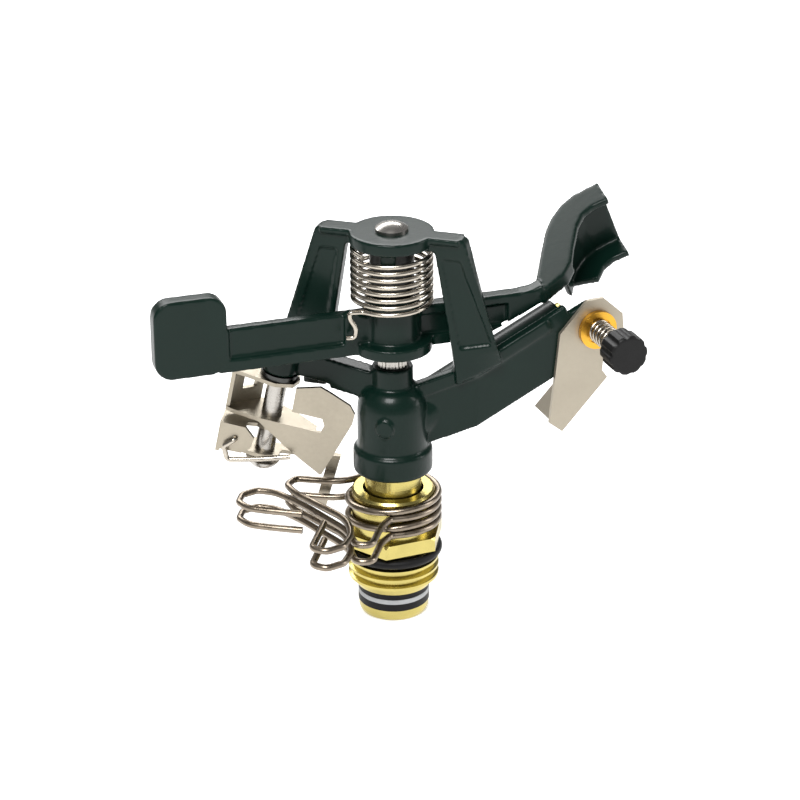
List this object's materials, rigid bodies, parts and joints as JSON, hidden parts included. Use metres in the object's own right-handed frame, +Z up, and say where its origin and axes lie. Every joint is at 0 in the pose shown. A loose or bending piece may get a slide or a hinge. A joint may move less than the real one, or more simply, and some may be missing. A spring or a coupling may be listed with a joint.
{
  "type": "impact sprinkler head",
  "caption": "Part-circle impact sprinkler: threaded brass inlet, turning green head with angled barrel, sprung swinging arm, trip clips, deflector and diffuser screw.",
  "frame": {"origin": "on the vertical axis, at the middle of the inlet thread", "axes": "+Z up the vertical axis the head turns about, +X the plan direction of the barrel"},
  "size_m": [0.1221, 0.0503, 0.0963],
  "materials": {
    "green_paint": "gloss",
    "brass": "satin",
    "gilt_brass": "satin",
    "steel_pin": "satin",
    "dark_steel": "satin",
    "spring_steel": "gloss",
    "clip_wire": "gloss",
    "stainless_sheet": "satin",
    "rubber": "matte",
    "nylon": "matte",
    "black_plastic": "matte"
  },
  "bodies": {
    "base": {"inlet_nipple": "brass", "thread_seal_washer": "rubber", "flange_washer_upper": "rubber", "spring_seat_washer": "nylon"},
    "head": {"bearing_tube": "brass", "flange_washer_lower": "rubber", "nylon_washer": "nylon", "bearing_spring": "spring_steel", "bearing_sleeve": "brass", "body_casting": "green_paint", "nozzle": "brass", "fulcrum_pin": "steel_pin", "trip_pin": "steel_pin", "trip_pin_washer": "dark_steel", "deflector_bush": "gilt_brass"},
    "arm": {"arm_casting": "green_paint", "arm_upper_bush": "black_plastic", "arm_lower_bush": "dark_steel", "arm_spring": "spring_steel"},
    "clip_upper": {"trip_clip_upper": "clip_wire"},
    "clip_lower": {"trip_clip_lower": "clip_wire"},
    "bracket": {"trip_bracket": "stainless_sheet"},
    "lever": {"trip_lever": "stainless_sheet", "toggle_spring": "spring_steel"},
    "deflector": {"deflector_plate": "stainless_sheet"},
    "diffuser_carriage": {"diffuser_spring": "spring_steel"},
    "diffuser": {"diffuser_screw": "steel_pin", "diffuser_knob": "black_plastic"}
  },
  "joints": [
    {"name": "head_turn", "type": "hinge", "parent": "base", "child": "head", "pos_m": [0, 0, -0.00438], "axis": [0, 0, 1], "range_deg": [-180, 0]},
    {"name": "clip_upper_turn", "type": "hinge", "parent": "base", "child": "clip_upper", "pos_m": [0, 0, 0.01562], "axis": [0, 0, 1], "range_deg": [0, 45]},
    {"name": "clip_lower_turn", "type": "hinge", "parent": "base", "child": "clip_lower", "pos_m": [0, 0, 0.01362], "axis": [0, 0, 1], "range_deg": [0, 45]},
    {"name": "arm_swing", "type": "hinge", "parent": "head", "child": "arm", "pos_m": [0, 0, 0.05562], "axis": [0, 0, 1], "range_deg": [-16, 90], "stiffness_Nm_per_rad": 0.002, "deforming": ["arm_spring"]},
    {"name": "lever_turn", "type": "hinge", "parent": "bracket", "child": "lever", "pos_m": [-0.02321, 0.0134, 0.04242], "axis": [0.1741, -0.1005, 0.9796], "range_deg": [0, 21.6], "deforming": ["toggle_spring"]},
    {"name": "bracket_turn", "type": "hinge", "parent": "head", "child": "bracket", "pos_m": [-0.02321, 0.0134, 0.04242], "axis": [0.1741, -0.1005, 0.9796], "range_deg": [-9.6, 0]},
    {"name": "deflector_turn", "type": "hinge", "parent": "head", "child": "deflector", "pos_m": [0.04577, -0.0095, 0.05546], "axis": [0, -1, 0], "range_deg": [0, 60]},
    {"name": "diffuser_travel", "type": "slide", "parent": "head", "child": "diffuser_carriage", "axis": [0, 1, 0], "range_m": [0, 0.0025], "deforming": ["diffuser_spring"]},
    {"name": "diffuser_turn", "type": "hinge", "parent": "diffuser_carriage", "child": "diffuser", "pos_m": [0.04577, -0.0095, 0.05546], "axis": [0, 1, 0], "range_deg": [0, 1286]}
  ],
  "couplings": [
    {"joint": "bracket_turn", "follows": "lever_turn", "ratio": -0.44444},
    {"joint": "diffuser_turn", "follows": "diffuser_travel", "rad_per_m": 8976}
  ]
}
